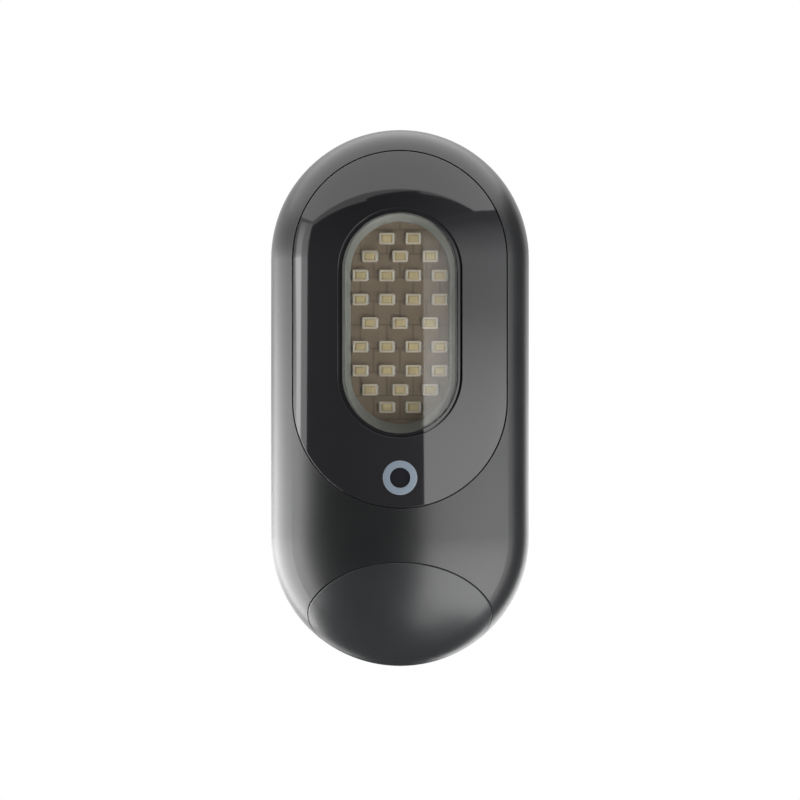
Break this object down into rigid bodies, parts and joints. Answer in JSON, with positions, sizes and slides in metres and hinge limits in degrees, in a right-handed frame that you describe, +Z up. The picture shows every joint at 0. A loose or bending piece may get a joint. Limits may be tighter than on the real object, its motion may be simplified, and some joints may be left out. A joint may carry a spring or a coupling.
{
  "type": "motion sensor floodlight",
  "caption": "Pill-shaped battery floodlight with a crowned black window, LED array behind a clear lens, motion-sensing chin lens, hinged battery door and rear stand socket.",
  "frame": {"origin": "centre of the mouth of the threaded stand socket, on the flat back", "axes": "+Z up along the length of the light, +Y out of the back and out of the socket, the lamps face -Y, +X to the right seen from the front"},
  "size_m": [0.064, 0.054, 0.133],
  "materials": {
    "housing_black": "satin charcoal, finely textured moulded polycarbonate",
    "window_black": "polished black acrylic",
    "clear_lens": "clear polished polycarbonate",
    "seal_black": "matt silicone rubber",
    "tray_grey": "satin light grey reflector plastic",
    "lamp_board": "warm brown-grey solder mask on aluminium",
    "lamp_package": "cream packages with yellow phosphor",
    "sink_metal": "plain extruded aluminium",
    "screw_steel": "zinc-plated steel",
    "pale_trim": "pale blue-grey satin plastic",
    "smoked_lens": "smoked polycarbonate",
    "board_green": "green solder mask on glass-epoxy board",
    "chip_black": "black epoxy packages",
    "can_metal": "nickel-plated steel can",
    "bracket_plastic": "black moulded nylon",
    "chin_plastic": "charcoal infrared-clear polyethylene",
    "pack_wrap": "dark blue shrink wrap",
    "contact_gold": "gold-plated spring bronze",
    "pin_steel": "stainless steel",
    "insert_brass": "turned brass",
    "button_grey": "charcoal silicone-coated cap"
  },
  "bodies": {
    "housing": {"front_housing": "housing_black", "window_bezel": "window_black", "bezel_seal": "seal_black", "led_lens": "clear_lens", "lens_gasket": "seal_black", "reflector_tray": "tray_grey", "led_board": "lamp_board", "led_packages": "lamp_package", "heat_sink": "sink_metal", "led_screws": "screw_steel", "dusk_sensor_ring": "pale_trim", "dusk_light_pipe": "smoked_lens", "dusk_sensor": "chip_black", "main_board": "board_green", "board_chips": "chip_black", "radio_module": "can_metal", "board_screws": "screw_steel", "pir_bracket": "bracket_plastic", "pir_board": "board_green", "pir_sensor": "can_metal", "pir_lens": "chin_plastic", "rear_housing": "housing_black", "housing_seal": "seal_black", "housing_screws": "screw_steel", "battery_pack": "pack_wrap", "battery_contacts": "contact_gold", "door_seal": "seal_black", "hinge_pin": "pin_steel", "stand_socket": "insert_brass", "sync_switch": "chip_black"},
    "door": {"battery_door": "housing_black"},
    "button": {"sync_button": "button_grey"}
  },
  "joints": [
    {"name": "door_hinge", "type": "hinge", "parent": "housing", "child": "door", "pos_m": [-0.0217, -0.0013, -0.051], "axis": [0, 0, 1], "range_deg": [0, 95]},
    {"name": "button_press", "type": "slide", "parent": "housing", "child": "button", "axis": [0, -1, 0], "range_m": [0, 0.0005], "stiffness_N_per_m": 600, "springref_m": -0.001}
  ]
}
